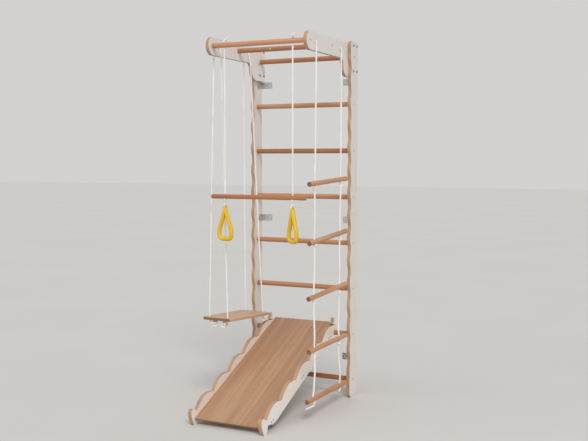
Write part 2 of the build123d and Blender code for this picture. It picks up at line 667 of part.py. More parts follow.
def rail_outline():
    last_share = (WAVE_END - CUSP_FIRST) / CUSP_PITCH - 4
    lobes = [[lobe_point(k, f * share) for f in LOBE_STATIONS]
             for k, share in enumerate((1, 1, 1, 1, last_share))]
    hook_start = (HOOK_START_Y, lower_edge(HOOK_START_Y))
    notch_front, notch_rear = RUNG_Y - HOOK_R, RUNG_Y + HOOK_R
    rung_z = RUNG_Z[6]
    edges = [
        Spline([lobes[0][0]] + FOOT_FRONT, tangents=[(-1, 0.3), (1, 0)]),
        Line(FOOT_FRONT[-1], FOOT_REAR[0]),
        Spline(FOOT_REAR, tangents=[(1, 0), (1, SLOPE)]),
        Line(SLIDE_ORIGIN, hook_start),
        ThreePointArc(hook_start, HOOK_NOSE_MID, (notch_front, HOOK_NOSE_Z)),
        Line((notch_front, HOOK_NOSE_Z), (notch_front, rung_z)),
        ThreePointArc((notch_front, rung_z), (RUNG_Y, rung_z + HOOK_R), (notch_rear, rung_z)),
        Line((notch_rear, rung_z), HOOK_LIP[0]),
        Spline(HOOK_LIP + [lobes[-1][-1]], tangents=[(1, 0.4), (-1, 0)]),
    ]
    return edges + [Spline(lobe[::-1]) for lobe in reversed(lobes)]


def slide_rail(x_low, x_high):
    """Slide rail: the long edges are rounded, the hook at the rung is left square."""
    plate = slab(rail_outline(), x_low, x_high)
    long_edges = [e for e in face_edges(plate, x_low, x_high)
                  if e.length > 60 and e.center().Y < -100]
    straight_edges = [e for e in long_edges if e.length > 500]
    # The cusps may defeat the fillet: then only the straight edges are rounded, or none.
    for edges in (long_edges, straight_edges):
        try:
            return fillet(edges, PLY_ROUND)
        except ValueError:
            continue
    return plate


def on_slope(y, height):
    """Point at a height square to the rails' lower edge, whose foot is at y on that edge."""
    return (y - height * math.sin(SLOPE_ANGLE), lower_edge(y) + height * math.cos(SLOPE_ANGLE))


def sloped_box(y_front, y_rear, low, high, gap):
    """Block on the slope that fills the width between the rails, less a gap at each side."""
    points = [on_slope(y_front, low), on_slope(y_rear, low),
              on_slope(y_rear, high), on_slope(y_front, high)]
    outline = [Line(points[i], points[(i + 1) % 4]) for i in range(4)]
    return slab(outline, RAIL_OUTER_X[-1] + PLY + gap, RAIL_OUTER_X[1] - PLY - gap)


def slide_board():
    y_front, y_rear = (y + BOARD_TOP * math.sin(SLOPE_ANGLE) for y in BOARD_Y)
    board = sloped_box(y_front, y_rear, BOARD_TOP - BOARD_T, BOARD_TOP, 0.2)
    return one(fillet(board.edges().filter_by(Axis.X), 2.0))


rails = {sign: slide_rail(*sorted((x, x - sign * PLY))) for sign, x in RAIL_OUTER_X.items()}
slide_screws = []
for name, batten_y in BATTEN_Y.items():
    batten = sloped_box(batten_y, batten_y + BATTEN_W, BATTEN_LOW, BATTEN_HIGH, 0.1)
    for sign, x in RAIL_OUTER_X.items():
        for share in (0.28, 0.72):
            y, z = on_slope(batten_y + share * BATTEN_W, (BATTEN_LOW + BATTEN_HIGH) / 2)
            hole = screw_hole(x, y, z, -sign, SLIDE_SCREW_L, radius=SLIDE_SCREW_R)
            batten = batten - hole
            rails[sign] = rails[sign] - hole
            slide_screws.append(screw(x, y, z, -sign, SLIDE_SCREW_L, radius=SLIDE_SCREW_R))
    pieces[f"slide_batten_{name}"] = one(batten)
pieces["slide_rail_left"] = one(rails[-1])
pieces["slide_rail_right"] = one(rails[1])
pieces["slide_board"] = slide_board()
pieces["slide_screws"] = group(slide_screws)

# ---------------------------------------------------------------- one file per piece
for name, shape in pieces.items():
    shape.label = name
    export_step(shape, f"parts/{name}.step")
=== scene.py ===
"""Children's climbing frame: plywood side panels and canopy arms, a slide, a swing, a trapeze
with rings and a rope ladder.

X runs across the frame with the swing on the left (-X) and the ladder on the right (+X).
Y runs from front (-Y) to rear (+Y), and Z is up from the floor. The scene is in metres.
The rope sections give their sizes and places in millimetres, turned to metres by MM.
"""
import bpy
import math
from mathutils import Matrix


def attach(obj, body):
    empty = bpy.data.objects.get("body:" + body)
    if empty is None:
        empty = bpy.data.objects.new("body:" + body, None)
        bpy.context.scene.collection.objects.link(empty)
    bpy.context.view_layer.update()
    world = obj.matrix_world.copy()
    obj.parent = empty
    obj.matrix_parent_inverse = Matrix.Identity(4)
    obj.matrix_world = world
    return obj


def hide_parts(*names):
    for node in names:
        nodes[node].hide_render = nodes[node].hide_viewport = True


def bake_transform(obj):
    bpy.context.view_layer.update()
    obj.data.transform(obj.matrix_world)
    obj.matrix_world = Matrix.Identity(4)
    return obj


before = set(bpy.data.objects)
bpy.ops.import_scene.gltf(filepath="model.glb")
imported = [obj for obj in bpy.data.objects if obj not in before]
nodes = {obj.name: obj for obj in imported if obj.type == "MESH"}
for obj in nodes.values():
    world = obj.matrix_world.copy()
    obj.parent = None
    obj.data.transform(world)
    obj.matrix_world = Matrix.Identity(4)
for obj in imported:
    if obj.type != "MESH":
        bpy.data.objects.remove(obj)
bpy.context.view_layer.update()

from fnmatch import fnmatchcase
from mathutils import Vector, Matrix, Euler

MM = 0.001
SLIDE_SLOPE = math.atan(0.417)
SEAT_PITCH = math.radians(-3.65)
SEAT_YAW = math.radians(-1.75)


# =============================================================== shader building
def rgba(colour):
    """A colour, or a number for a grey, as four channels. Sockets pass through."""
    if isinstance(colour, bpy.types.NodeSocket):
        return colour
    if isinstance(colour, (int, float)):
        colour = (colour,) * 3
    return (*colour, 1)


def tint(colour, factors):
    """The colour times one factor or one per channel, held at 1."""
    if isinstance(factors, float):
        factors = (factors,) * 3
    return tuple(min(1.0, v * f) for v, f in zip(colour, factors))


class Shader:
    """A material around one Principled surface, with short ways to add nodes."""

    def __init__(self, name):
        self.material = bpy.data.materials.new(name)
        self.material.use_nodes = True
        self.tree = self.material.node_tree
        self.tree.nodes.clear()
        output = self.node("ShaderNodeOutputMaterial")
        self.surface = self.node("ShaderNodeBsdfPrincipled")
        self.plug(output.inputs["Surface"], self.surface.outputs["BSDF"])
        self.coords = self.node("ShaderNodeTexCoord").outputs

    def plug(self, socket, value):
        """Link the value if it is a socket, otherwise set it."""
        if isinstance(value, bpy.types.NodeSocket):
            self.tree.links.new(value, socket)
        else:
            socket.default_value = value

    def node(self, kind, inputs=None, **settings):
        node = self.tree.nodes.new(kind)
        for key, value in settings.items():
            setattr(node, key, value)
        for key, value in (inputs or {}).items():
            self.plug(node.inputs[key], value)
        return node

    def set(self, inputs):
        """Set or link inputs of the Principled surface."""
        for key, value in inputs.items():
            self.plug(self.surface.inputs[key], value)

    def mapping(self, stretch=(1, 1, 1), shift=(0, 0, 0), tilt=0.0):
        """Object coordinates, turned back by tilt radians about X, then scaled."""
        source = self.coords["Object"]
        if tilt:
            turned = self.node("ShaderNodeMapping", {"Rotation": (-tilt, 0, 0), "Vector": source})
            source = turned.outputs["Vector"]
        inputs = {"Scale": stretch, "Location": shift, "Vector": source}
        return self.node("ShaderNodeMapping", inputs).outputs["Vector"]

    def noise(self, scale=1.0, detail=4.0, roughness=0.55, distortion=0.0, **placing):
        """Noise; the other arguments go to mapping."""
        inputs = {"Scale": scale, "Detail": detail, "Roughness": roughness,
                  "Distortion": distortion, "Vector": self.mapping(**placing)}
        return self.node("ShaderNodeTexNoise", inputs).outputs["Fac"]

    def ramp(self, factor, *stops):
        """Colour ramp; each stop is (position, colour or grey)."""
        node = self.node("ShaderNodeValToRGB", {"Fac": factor})
        elements = node.color_ramp.elements
        while len(elements) > 1:
            elements.remove(elements[-1])
        for i, (position, colour) in enumerate(stops):
            element = elements.new(position) if i else elements[0]
            element.position = position
            element.color = rgba(colour)
        return node.outputs["Color"]

    def math(self, operation, *values, clamp=False):
        inputs = dict(enumerate(values))
        node = self.node("ShaderNodeMath", inputs, operation=operation, use_clamp=clamp)
        return node.outputs[0]

    def add(self, first, second, clamp=False):
        return self.math("ADD", first, second, clamp=clamp)

    def subtract(self, first, second):
        return self.math("SUBTRACT", first, second)

    def multiply(self, first, second):
        return self.math("MULTIPLY", first, second)

    def swing(self, field, amount, middle=0.5):
        """The field measured from its middle, times amount."""
        return self.multiply(self.subtract(field, middle), amount)

    def mix(self, factor, first, second, blend="MIX"):
        """Blend two colours; inputs 6 and 7 and output 2 are the colour sockets."""
        inputs = {0: factor, 6: rgba(first), 7: rgba(second)}
        return self.node("ShaderNodeMix", inputs, data_type="RGBA", blend_type=blend).outputs[2]

    def bump(self, height, strength, distance):
        inputs = {"Strength": strength, "Distance": distance, "Height": height}
        self.set({"Normal": self.node("ShaderNodeBump", inputs).outputs["Normal"]})

    def part(self, source, axis):
        """One axis of the Object or Normal coordinates."""
        return self.node("ShaderNodeSeparateXYZ", {0: self.coords[source]}).outputs[axis]

    def facing(self, axis):
        """How squarely the surface faces along an axis, either way."""
        return self.math("ABSOLUTE", self.part("Normal", axis))


# =============================================================== materials
PLY_EDGE_LIGHT = (0.62, 0.40, 0.245)
PLY_EDGE_DARK = (0.34, 0.185, 0.10)
VENEER_PAIR = 0.00367       # thickness of one light and one dark veneer, in metres
RAIL_WHITE = (0.90, 0.845, 0.80)
# wood tones: light, mid, dark
BEECH = ((0.60, 0.355, 0.205), (0.52, 0.275, 0.145), (0.38, 0.17, 0.082))
BOARD = ((0.50, 0.305, 0.185), (0.405, 0.228, 0.13), (0.30, 0.155, 0.083))
SEAT_WOOD = ((0.66, 0.43, 0.28), (0.57, 0.34, 0.205), (0.42, 0.225, 0.12))
BATTEN = ((0.60, 0.40, 0.24), (0.52, 0.31, 0.17), (0.4, 0.22, 0.11))


def plywood(name, face, layer_start):
    """White laminated faces, bare layered edges. layer_start is the X of the first veneer."""
    s = Shader(name)
    # face: faint pressed texture, slight greying and scuffs
    cloud = s.noise(scale=3.2, detail=5.0, roughness=0.6)
    pressed = s.noise(scale=260.0, detail=3.0, roughness=0.6, stretch=(1, 1, 0.35))
    face_colour = s.ramp(cloud, (0.25, tint(face, 0.955)), (0.75, face))
    scuff = s.noise(scale=14.0, detail=6.0, roughness=0.7, distortion=0.4,
                    stretch=(1, 6, 1.2), shift=(3.1, 0, 0))
    scuff_mask = s.ramp(scuff, (0.64, 0), (0.74, 0.35))
    face_colour = s.mix(scuff_mask, face_colour, tint(face, 0.86))
    # edge: slightly wavering veneers across the thickness
    depth = s.subtract(s.part("Object", "X"), layer_start)
    depth = s.add(depth, s.swing(s.noise(scale=22.0, detail=2.0), amount=0.0008))
    within = s.math("FRACT", s.multiply(depth, 1.0 / VENEER_PAIR))
    # light veneer up to 0.46, dark veneer beyond, dark glue lines at 0 and 1
    band = s.ramp(within, (0.0, 0.0), (0.06, 1), (0.46, 0.86), (0.52, 0.12), (0.95, 0.3),
                  (1.0, 0.0))
    streak = s.noise(detail=5.0, roughness=0.65, stretch=(500, 9, 9))
    # tone: share of banding and share of streaks
    tone = s.add(s.multiply(band, 0.62), s.multiply(streak, 0.42), clamp=True)
    edge_colour = s.ramp(tone, (0.12, PLY_EDGE_DARK), (0.85, PLY_EDGE_LIGHT))
    burn = s.noise(scale=11.0, detail=4.0, roughness=0.6)
    burn_mask = s.ramp(burn, (0.5, 0), (0.75, 0.45))
    edge_colour = s.mix(burn_mask, edge_colour, tint(PLY_EDGE_DARK, 0.72))
    is_face = s.math("GREATER_THAN", s.facing("X"), 0.62)
    face_rough = s.ramp(cloud, (0.2, 0.34), (0.8, 0.42))
    s.set({
        "Base Color": s.mix(is_face, edge_colour, face_colour),
        "Roughness": s.mix(is_face, 0.55, face_rough),
        "Specular IOR Level": 0.45,
    })
    s.bump(s.mix(is_face, tone, pressed), strength=s.mix(is_face, 1.0, 0.25), distance=0.00025)
    return s.material


def wood(name, tones, axis, seed, rough=0.42, end=(0.12, 0.055, 0.03), grain=1.0, tilt=0.0,
         figure=0.0, contrast=1.0, stave_start=0.0, stave_width=None):
    """Long grain along one axis, with pores, flecks and darker end grain.

    grain weights the fine streaks, figure adds flat-sawn cathedral bands, and stave_width
    glues the piece up from strips across X, counted from stave_start.
    """
    s = Shader(name)
    light, mid, dark = tones
    mid_tone = 0.48

    def lengthwise(along, across, shift):
        """Mapping drawn out along the grain."""
        stretch = [across] * 3
        stretch["XYZ".index(axis)] = along
        return {"stretch": tuple(stretch), "shift": shift, "tilt": tilt}

    broad = s.noise(detail=4.0, roughness=0.55, distortion=0.15,
                    **lengthwise(along=0.9, across=26, shift=(seed, seed, seed)))
    streak = s.noise(detail=5.0, roughness=0.6, distortion=0.08,
                     **lengthwise(along=2.4, across=230, shift=(seed, 0, seed)))
    pore = s.noise(detail=2.0, roughness=0.5,
                   **lengthwise(along=45, across=1500, shift=(0, seed, 0)))
    lump = s.noise(detail=2.0, **lengthwise(along=1.6, across=5, shift=(0, 0, seed)))
    # tone: shares of broad grain, fine streaks and lumps
    tone = s.add(s.multiply(broad, 0.55), s.multiply(streak, 0.45 * grain))
    tone = s.add(tone, s.swing(lump, amount=0.30))
    if figure:
        placing = lengthwise(along=0.85, across=8.5, shift=(seed, seed, 0))
        wave = s.node(
            "ShaderNodeTexWave",
            {"Scale": 1.0, "Distortion": 5.5, "Detail": 2.0, "Detail Scale": 0.8,
             "Vector": s.mapping(**placing)},
            wave_type="BANDS", bands_direction="X", wave_profile="SAW")
        tone = s.add(tone, s.swing(wave.outputs["Fac"], amount=figure))
    tone = s.add(s.swing(tone, amount=contrast, middle=mid_tone), mid_tone)
    if stave_width:
        strip = s.swing(s.part("Object", "X"), amount=1.0 / stave_width, middle=stave_start)
        # each strip gets its own shade: a sine stepped 2.1 radians from strip to strip
        shade = s.math("SINE", s.multiply(s.math("FLOOR", strip), 2.1))
        tone = s.add(tone, s.multiply(shade, 0.035))
        # distance from the nearest joint, as a share of the strip
        joint = s.subtract(s.math("FRACT", s.add(strip, 0.5)), 0.5)
        glue_mask = s.ramp(s.math("ABSOLUTE", joint), (0.004, 0.55), (0.016, 0))
    colour = s.ramp(tone, (0.30, dark), (mid_tone, mid), (0.66, light))
    pore_mask = s.ramp(pore, (0.60, 0), (0.70, 0.5))
    colour = s.mix(pore_mask, colour, tint(dark, 0.6))
    # a few long pale rays
    ray = s.noise(detail=2.0, roughness=0.5,
                  **lengthwise(along=1.1, across=95, shift=(seed + 2.0, seed, 0)))
    colour = s.mix(s.ramp(ray, (0.60, 0), (0.72, 0.42)), colour, tint(light, 1.18))
    if stave_width:
        colour = s.mix(glue_mask, colour, tint(light, 1.25))
    rings = s.noise(detail=3.0, roughness=0.6, distortion=1.2, stretch=(320, 320, 320))
    end_colour = s.ramp(rings, (0.3, tint(end, 0.6)), (0.7, tint(end, 1.9)))
    is_end = s.ramp(s.facing(axis), (0.62, 0), (0.85, 1))
    s.set({
        "Base Color": s.mix(is_end, colour, end_colour),
        "Roughness": s.ramp(streak, (0.3, rough + 0.08), (0.7, rough - 0.06)),
        "Coat Weight": 0.05,
        "Coat Roughness": 0.3,
        "Specular IOR Level": 0.34,
    })
    # streaks stand up, pores sink in
    height = s.subtract(s.multiply(streak, 0.7), s.multiply(pore_mask, 0.6))
    s.bump(height, strength=0.5, distance=0.0003)
    return s.material


def cord(name, light, dark):
    """Fibrous rope with painted shade between the strands, and a little soiled."""
    s = Shader(name)
    fibre = s.noise(detail=4.0, roughness=0.7, distortion=1.0, stretch=(900, 900, 420))
    soil = s.noise(detail=4.0, roughness=0.6, stretch=(9, 9, 9))
    pointiness = s.node("ShaderNodeNewGeometry").outputs["Pointiness"]
    # painted shade: hollows between the strands darker, strand crests lighter
    raised = s.ramp(pointiness, (0.44, 0.0), (0.52, 1))
    # tone: share of fibre and share of raised strand
    tone = s.add(s.multiply(fibre, 0.5), s.multiply(raised, 0.55), clamp=True)
    colour = s.ramp(tone, (0.1, dark), (0.75, light))
    colour = s.mix(s.ramp(soil, (0.45, 0), (0.8, 0.3)), colour, tint(dark, 0.8))
    s.set({"Base Color": colour, "Roughness": 0.92, "Sheen Weight": 0.35,
           "Sheen Roughness": 0.5})
    s.bump(fibre, strength=0.7, distance=0.0005)
    return s.material


def moulded(name, colour, rough, subsurface=0.0):
    """Moulded plastic with a fine skin texture."""
    s = Shader(name)
    skin = s.noise(scale=900.0, detail=3.0, roughness=0.5)
    cloud = s.noise(scale=18.0, detail=4.0, roughness=0.6)
    s.set({
        "Base Color": s.ramp(cloud, (0.3, tint(colour, 0.9)), (0.7, colour)),
        "Roughness": s.ramp(cloud, (0.3, rough + 0.07), (0.7, rough - 0.04)),
        "Subsurface Weight": subsurface,
        "Subsurface Radius": (0.004, 0.003, 0.001),
    })
    s.bump(skin, strength=0.25, distance=0.0002)
    return s.material


def metal(name, light, dark, rough, metallic, spangle_scale, painted_hole_shade=False):
    """Spangled metal. The last switch darkens what faces neither X nor Y, as painted shade in the
    holes and on the sheet's edges.
    """
    s = Shader(name)
    spangle = s.node("ShaderNodeTexVoronoi", {"Scale": spangle_scale, "Vector": s.mapping()})
    fine = s.noise(scale=900.0, detail=3.0, roughness=0.6)
    # tone: share of spangle and share of fine grain
    tone = s.add(s.multiply(spangle.outputs["Color"], 0.6), s.multiply(fine, 0.4))
    colour = s.ramp(tone, (0.25, dark), (0.75, light))
    if painted_hole_shade:
        # painted shade: the hole walls and sheet edges, facing neither X nor Y, are darkened to
        # stand in for the shaded wall seen through the perforations
        sheet = s.math("MAXIMUM", s.facing("X"), s.facing("Y"))
        edge = s.ramp(sheet, (0.86, tint(dark, 0.3)), (0.96, 1))
        colour = s.mix(1.0, colour, edge, blend="MULTIPLY")
    s.set({
        "Base Color": colour,
        "Metallic": metallic,
        "Roughness": s.ramp(tone, (0.3, rough + 0.1), (0.7, rough - 0.06)),
    })
    s.bump(fine, strength=0.3, distance=0.0002)
    return s.material


materials = {
    "panel": plywood("panel_plywood", face=(0.775, 0.725, 0.70), layer_start=0.318),
    "arm": plywood("arm_plywood", face=(0.805, 0.765, 0.738), layer_start=0.296),
    "rail_right": plywood("rail_plywood_right", face=RAIL_WHITE, layer_start=0.195),
    "rail_left": plywood("rail_plywood_left", face=RAIL_WHITE, layer_start=-0.238),
    "dowel": wood("beech_along_z", BEECH, "Z", seed=5.0),
    "board": wood("slide_board_wood", BOARD, "Y", seed=7.0, rough=0.46, end=(0.22, 0.12, 0.06),
                  grain=1.25, tilt=SLIDE_SLOPE, figure=0.05, contrast=0.8,
                  stave_start=-0.2135, stave_width=0.1365),
    "seat": wood("seat_wood", SEAT_WOOD, "Y", seed=11.0, rough=0.4, end=(0.2, 0.11, 0.055),
                 grain=0.9, tilt=SEAT_PITCH, figure=0.08),
    "batten": wood("batten_wood", BATTEN, "X", seed=13.0, rough=0.6, end=(0.25, 0.14, 0.07)),
    "rope": cord("white_rope", light=(0.93, 0.915, 0.88), dark=(0.66, 0.63, 0.57)),
    "ring": moulded("ring_yellow", (0.82, 0.52, 0.006), rough=0.40, subsurface=0.05),
    "cap": moulded("cap_white", (0.82, 0.81, 0.78), rough=0.4),
    "zinc": metal("galvanised", light=(0.74, 0.75, 0.76), dark=(0.46, 0.47, 0.49), rough=0.46,
                  metallic=0.6, spangle_scale=240.0, painted_hole_shade=True),
    "screw": metal("screw_steel", light=(0.27, 0.27, 0.28), dark=(0.12, 0.12, 0.125),
                   rough=0.45, metallic=0.85, spangle_scale=500.0),
}

# ladder rungs from the top down: tilt in degrees, tint of the beech
LADDER_RUNGS = (
    (2.4, (1.04, 1.0, 0.95)),
    (3.6, (1.05, 1.03, 1.0)),
    (2.0, (1.10, 1.10, 1.03)),
    (0.2, (1.04, 0.97, 0.88)),
    (-1.1, (1.04, 0.90, 0.76)),
)
for i, (degrees, factors) in enumerate(LADDER_RUNGS):
    materials[f"ladder_{i + 1}"] = wood(
        f"beech_ladder_{i + 1}", [tint(tone, factors) for tone in BEECH], "Y", seed=3.0 + i,
        tilt=math.radians(degrees), end=(0.20, 0.088, 0.045))

# each turned piece has its own tint of the beech, partly its plank's own tone and partly painted
# light: the front bar is lightened where light falls on it, and the pull-up bar and rung 1 are
# darkened as painted shade under the canopy arms
TURNED_TINTS_AND_PAINTED_LIGHT = {
    "trapeze_bar": (0.86, 0.67, 0.54),
    "front_bar": (1.10, 0.97, 0.94),
    "pull_up_bar": (0.82, 0.70, 0.64),
    "rung_1": (0.84, 0.68, 0.55),
    "rung_2": (0.96, 0.92, 0.88),
    "rung_3": (0.74, 0.60, 0.46),
    "rung_4": (0.95, 0.86, 0.78),
    "rung_5": (1.0, 0.93, 0.86),
    "rung_6": (0.90, 0.79, 0.70),
    "rung_7": (0.84, 0.72, 0.62),
    "rung_8": (0.78, 0.64, 0.54),
}
for i, (name, factors) in enumerate(TURNED_TINTS_AND_PAINTED_LIGHT.items()):
    materials[name] = wood(
        "beech_" + name, [tint(tone, factors) for tone in BEECH], "X", seed=21.0 + 3.7 * i,
        end=(0.34, 0.175, 0.09) if name == "trapeze_bar" else (0.20, 0.09, 0.045))

# piece name pattern, material; the first match counts, {last} is the name's last character
PIECE_MATERIALS = (
    ("panel_dowels", "dowel"),
    ("left_panel*", "panel"),
    ("right_panel*", "panel"),
    ("*canopy_arm*", "arm"),
    ("slide_rail_left", "rail_left"),
    ("slide_rail_right", "rail_right"),
    ("slide_board", "board"),
    ("swing_seat", "seat"),
    ("*batten*", "batten"),
    ("*screws*", "screw"),
    ("canopy_bolts", "screw"),
    ("canopy_nuts", "screw"),
    ("*bracket*", "zinc"),
    ("ladder_rung*", "ladder_{last}"),
    ("pull_up_bar_caps", "cap"),
    ("ring_loop*", "rope"),
    ("*rope*", "rope"),
    ("*knots*", "rope"),
    ("*saddles*", "rope"),
    ("ring_*", "ring"),
    ("*", "screw"),
)


def piece_material(name):
    if name in TURNED_TINTS_AND_PAINTED_LIGHT:
        return materials[name]
    key = next(key for pattern, key in PIECE_MATERIALS if fnmatchcase(name, pattern))
    return materials[key.format(last=name[-1])]


def give(obj, material):
    obj.data.materials.clear()
    obj.data.materials.append(material)


for name, piece in nodes.items():
    give(piece, piece_material(name))
for name in ("slide_rail_left", "slide_rail_right"):
    bevel = nodes[name].modifiers.new("soft_edges", "BEVEL")
    bevel.width = 0.0022
    bevel.segments = 3
    bevel.limit_method = "ANGLE"
    bevel.angle_limit = math.radians(50)
    bevel.harden_normals = False


# =============================================================== rope meshes
OUTLINE_POINTS = 18             # around a rope
LAY = 7.0                       # length of one full twist, in rope radii
END_TAPER = (0.55, 0.86, 0.97)  # radius factors of the three outlines nearest an open end
THIRD = 2 * math.pi / 3


def smooth_curve(points, step):
    """Centripetal Catmull-Rom curve through the points, sampled about every step."""

    def between(start, end, start_t, end_t, t):
        span = end_t - start_t
        return start * ((end_t - t) / span) + end * ((t - start_t) / span)

    points = [Vector(p) for p in points]
    before = points[0] + (points[0] - points[1])
    after = points[-1] + (points[-1] - points[-2])
    points = [before] + points + [after]
    out = []
    for i in range(1, len(points) - 2):
        p0, p1, p2, p3 = points[i - 1:i + 3]
        samples = max(2, int(math.ceil((p2 - p1).length / step)))
        t0 = 0.0
        t1 = t0 + max((p1 - p0).length, 1e-9) ** 0.5
        t2 = t1 + max((p2 - p1).length, 1e-9) ** 0.5
        t3 = t2 + max((p3 - p2).length, 1e-9) ** 0.5
        for k in range(samples):
            t = t1 + (t2 - t1) * k / samples
            a1 = between(p0, p1, t0, t1, t)
            a2 = between(p1, p2, t1, t2, t)
            a3 = between(p2, p3, t2, t3, t)
            b1 = between(a1, a2, t0, t2, t)
            b2 = between(a2, a3, t1, t3, t)
            out.append(between(b1, b2, t1, t2, t))
    out.append(points[-2].copy())
    return out


def resample(points, step):
    """Points spaced evenly by step along a polyline, ending near its last point."""
    out = [points[0].copy()]
    carried = 0.0
    for here, there in zip(points, points[1:]):
        gap = (there - here).length
        while carried + gap >= step and gap > 1e-9:
            here = here + (there - here) * ((step - carried) / gap)
            out.append(here.copy())
            gap = (there - here).length
            carried = 0.0
        carried += gap
    if (out[-1] - points[-1]).length > 0.3 * step:
        out.append(points[-1].copy())
    return out


def outline_radius(angle, radius):
    """Radius of a three-strand rope's outline at an angle."""
    angle = angle % THIRD
    if angle > math.pi / 3:
        angle -= THIRD
    strand = 0.56 * radius
    offset = 0.44 * radius
    reach = math.sqrt(max(strand * strand - (offset * math.sin(angle)) ** 2, 0.0))
    return offset * math.cos(angle) + reach


def path_frames(points, closed):
    """Tangents, and (side, other side, distance along) carried along without twisting."""
    count = len(points)
    tangents = []
    for i in range(count):
        before = i - 1 if closed else max(i - 1, 0)
        after = (i + 1) % count if closed else min(i + 1, count - 1)
        tangents.append((points[after] - points[before]).normalized())
    side = tangents[0].orthogonal().normalized()
    distance = 0.0
    frames = []
    for i, tangent in enumerate(tangents):
        if i:
            distance += (points[i] - points[i - 1]).length
            side = tangents[i - 1].rotation_difference(tangent) @ side
            side = (side - tangent * side.dot(tangent)).normalized()
        frames.append((side.copy(), tangent.cross(side).normalized(), distance))
    return tangents, frames


def add_rope(verts, faces, path, radius, closed):
    """Append one twisted rope swept along a path (metres)."""
    if closed:
        points = path
    else:
        points = resample(smooth_curve(path, radius * 0.5), radius * 0.52)
    count = len(points)
    tangents, frames = path_frames(points, closed)
    total = frames[-1][2] + ((points[0] - points[-1]).length if closed else 0.0)
    turns = total / (LAY * radius)
    closing_turn = 0.0
    if closed:
        # whole turns, less the angle the carried frame is out by when it comes round
        turns = max(1, round(turns))
        side = tangents[-1].rotation_difference(tangents[0]) @ frames[-1][0]
        closing_turn = math.atan2(side.dot(frames[0][1]), side.dot(frames[0][0]))
    base = len(verts)
    for i, (side, other, distance) in enumerate(frames):
        share = distance / total
        twist = 2 * math.pi * turns * share - closing_turn * share
        from_end = min(i, count - 1 - i)
        taper = END_TAPER[from_end] if not closed and from_end < len(END_TAPER) else 1.0
        for j in range(OUTLINE_POINTS):
            angle = 2 * math.pi * j / OUTLINE_POINTS
            reach = outline_radius(angle, radius) * taper
            # fibres: a little unevenness
            reach *= 1.0 + 0.018 * math.sin(12.9898 * (i + 1) + 78.233 * (j + 1))
            turned = angle + twist
            verts.append(points[i] + side * (reach * math.cos(turned))
                         + other * (reach * math.sin(turned)))
    for i in range(count if closed else count - 1):
        a = base + i * OUTLINE_POINTS
        b = base + ((i + 1) % count) * OUTLINE_POINTS
        for j in range(OUTLINE_POINTS):
            k = (j + 1) % OUTLINE_POINTS
            faces.append((a + j, a + k, b + k, b + j))
    if not closed:
        # low cones over the two ends
        start_tip = len(verts)
        end_tip = start_tip + 1
        last = base + (count - 1) * OUTLINE_POINTS
        verts.append(points[0] - tangents[0] * radius * 0.18)
        verts.append(points[-1] + tangents[-1] * radius * 0.18)
        for j in range(OUTLINE_POINTS):
            k = (j + 1) % OUTLINE_POINTS
            faces.append((start_tip, base + k, base + j))
            faces.append((end_tip, last + j, last + k))


def make_rope(name, paths, radius, closed=False):
    """One object of twisted ropes; paths in metres, radius in mm."""
    verts, faces = [], []
    for path in paths:
        add_rope(verts, faces, path, radius * MM, closed)
    mesh = bpy.data.meshes.new(name)
    mesh.from_pydata([tuple(v) for v in verts], [], faces)
    mesh.update()
    obj = bpy.data.objects.new(name, mesh)
    bpy.context.scene.collection.objects.link(obj)
    give(obj, materials["rope"])
    for face in mesh.polygons:
        face.use_smooth = True
    return obj


# =============================================================== rope paths
DOWN = Vector((0, 0, -1))
KNOT_STEPS = 26


def mm(x, y, z):
    """A point given in mm, in metres."""
    return Vector((x * MM, y * MM, z * MM))


def offsets(start, steps):
    """Points at offsets (mm) from a start point."""
    return [start + Vector(step) * MM for step in steps]


def knot(centre, along, size, roll):
    """Overhand knot: the rope comes in against along and leaves with it. size is in mm."""
    along = along.normalized()
    side = Matrix.Rotation(roll, 3, along) @ along.orthogonal().normalized()
    other = along.cross(side)
    size = size * MM
    out = []
    for i in range(KNOT_STEPS + 1):
        t = -2.0 + 4.0 * i / KNOT_STEPS
        x = t ** 3 - 3 * t
        y = t ** 4 - 4 * t * t
        z = t ** 5 - 10 * t
        out.append(centre + side * (x * size) + other * ((y + 1.7) * size * 0.8)
                   + along * (z * size * 0.27))
    return out


def tail(start, direction, length, droop):
    """Four points of a loose end, length in mm, sagging by droop times its length."""
    direction = Vector(direction).normalized()
    out = []
    for i in range(1, 5):
        f = i / 4
        sag = Vector((0, 0, -droop * length * MM * f * f))
        out.append(start + direction * (length * MM * f) + sag)
    return out


# --------------------------------------------------- trapeze ropes, knotted at both ends
FRONT_BAR_Y = -638.0
FRONT_BAR_Z = 2101.0
TOP_KNOT_Z = FRONT_BAR_Z + 23.0
LOW_KNOT_Z = 1219.5
LOOP_Z = 1192.0
LOOP_HALF_HEIGHT = 11.6
LOOP_HALF_WIDTH = 9.6
LOOP_STEPS = 96
ROPE_RUN_Z = (FRONT_BAR_Z + 2, FRONT_BAR_Z - 16, 1900, 1600, 1300, 1241)
# side, x, knot roll (radians), loop turn (degrees), tail direction in x, pieces replaced
TRAPEZE = (
    ("left", -219.5, 0.4, -8.0, 0.75, ("trapeze_rope_left", "front_bar_knots")),
    ("right", 212.0, 1.7, -36.0, -0.75, ("trapeze_rope_right",)),
)


def ring_loop(x, turn):
    """Closed oval of cord from the knot to the ring, turned about Z."""
    centre = mm(x, FRONT_BAR_Y, LOOP_Z)
    turn = math.radians(turn)
    up = Vector((0, 0, 1))
    across = Vector((math.cos(turn), math.sin(turn), 0)).cross(up).normalized()
    points = []
    for i in range(LOOP_STEPS):
        angle = 2 * math.pi * i / LOOP_STEPS
        points.append(centre + up * (math.cos(angle) * LOOP_HALF_HEIGHT * MM)
                      + across * (math.sin(angle) * LOOP_HALF_WIDTH * MM))
    return points


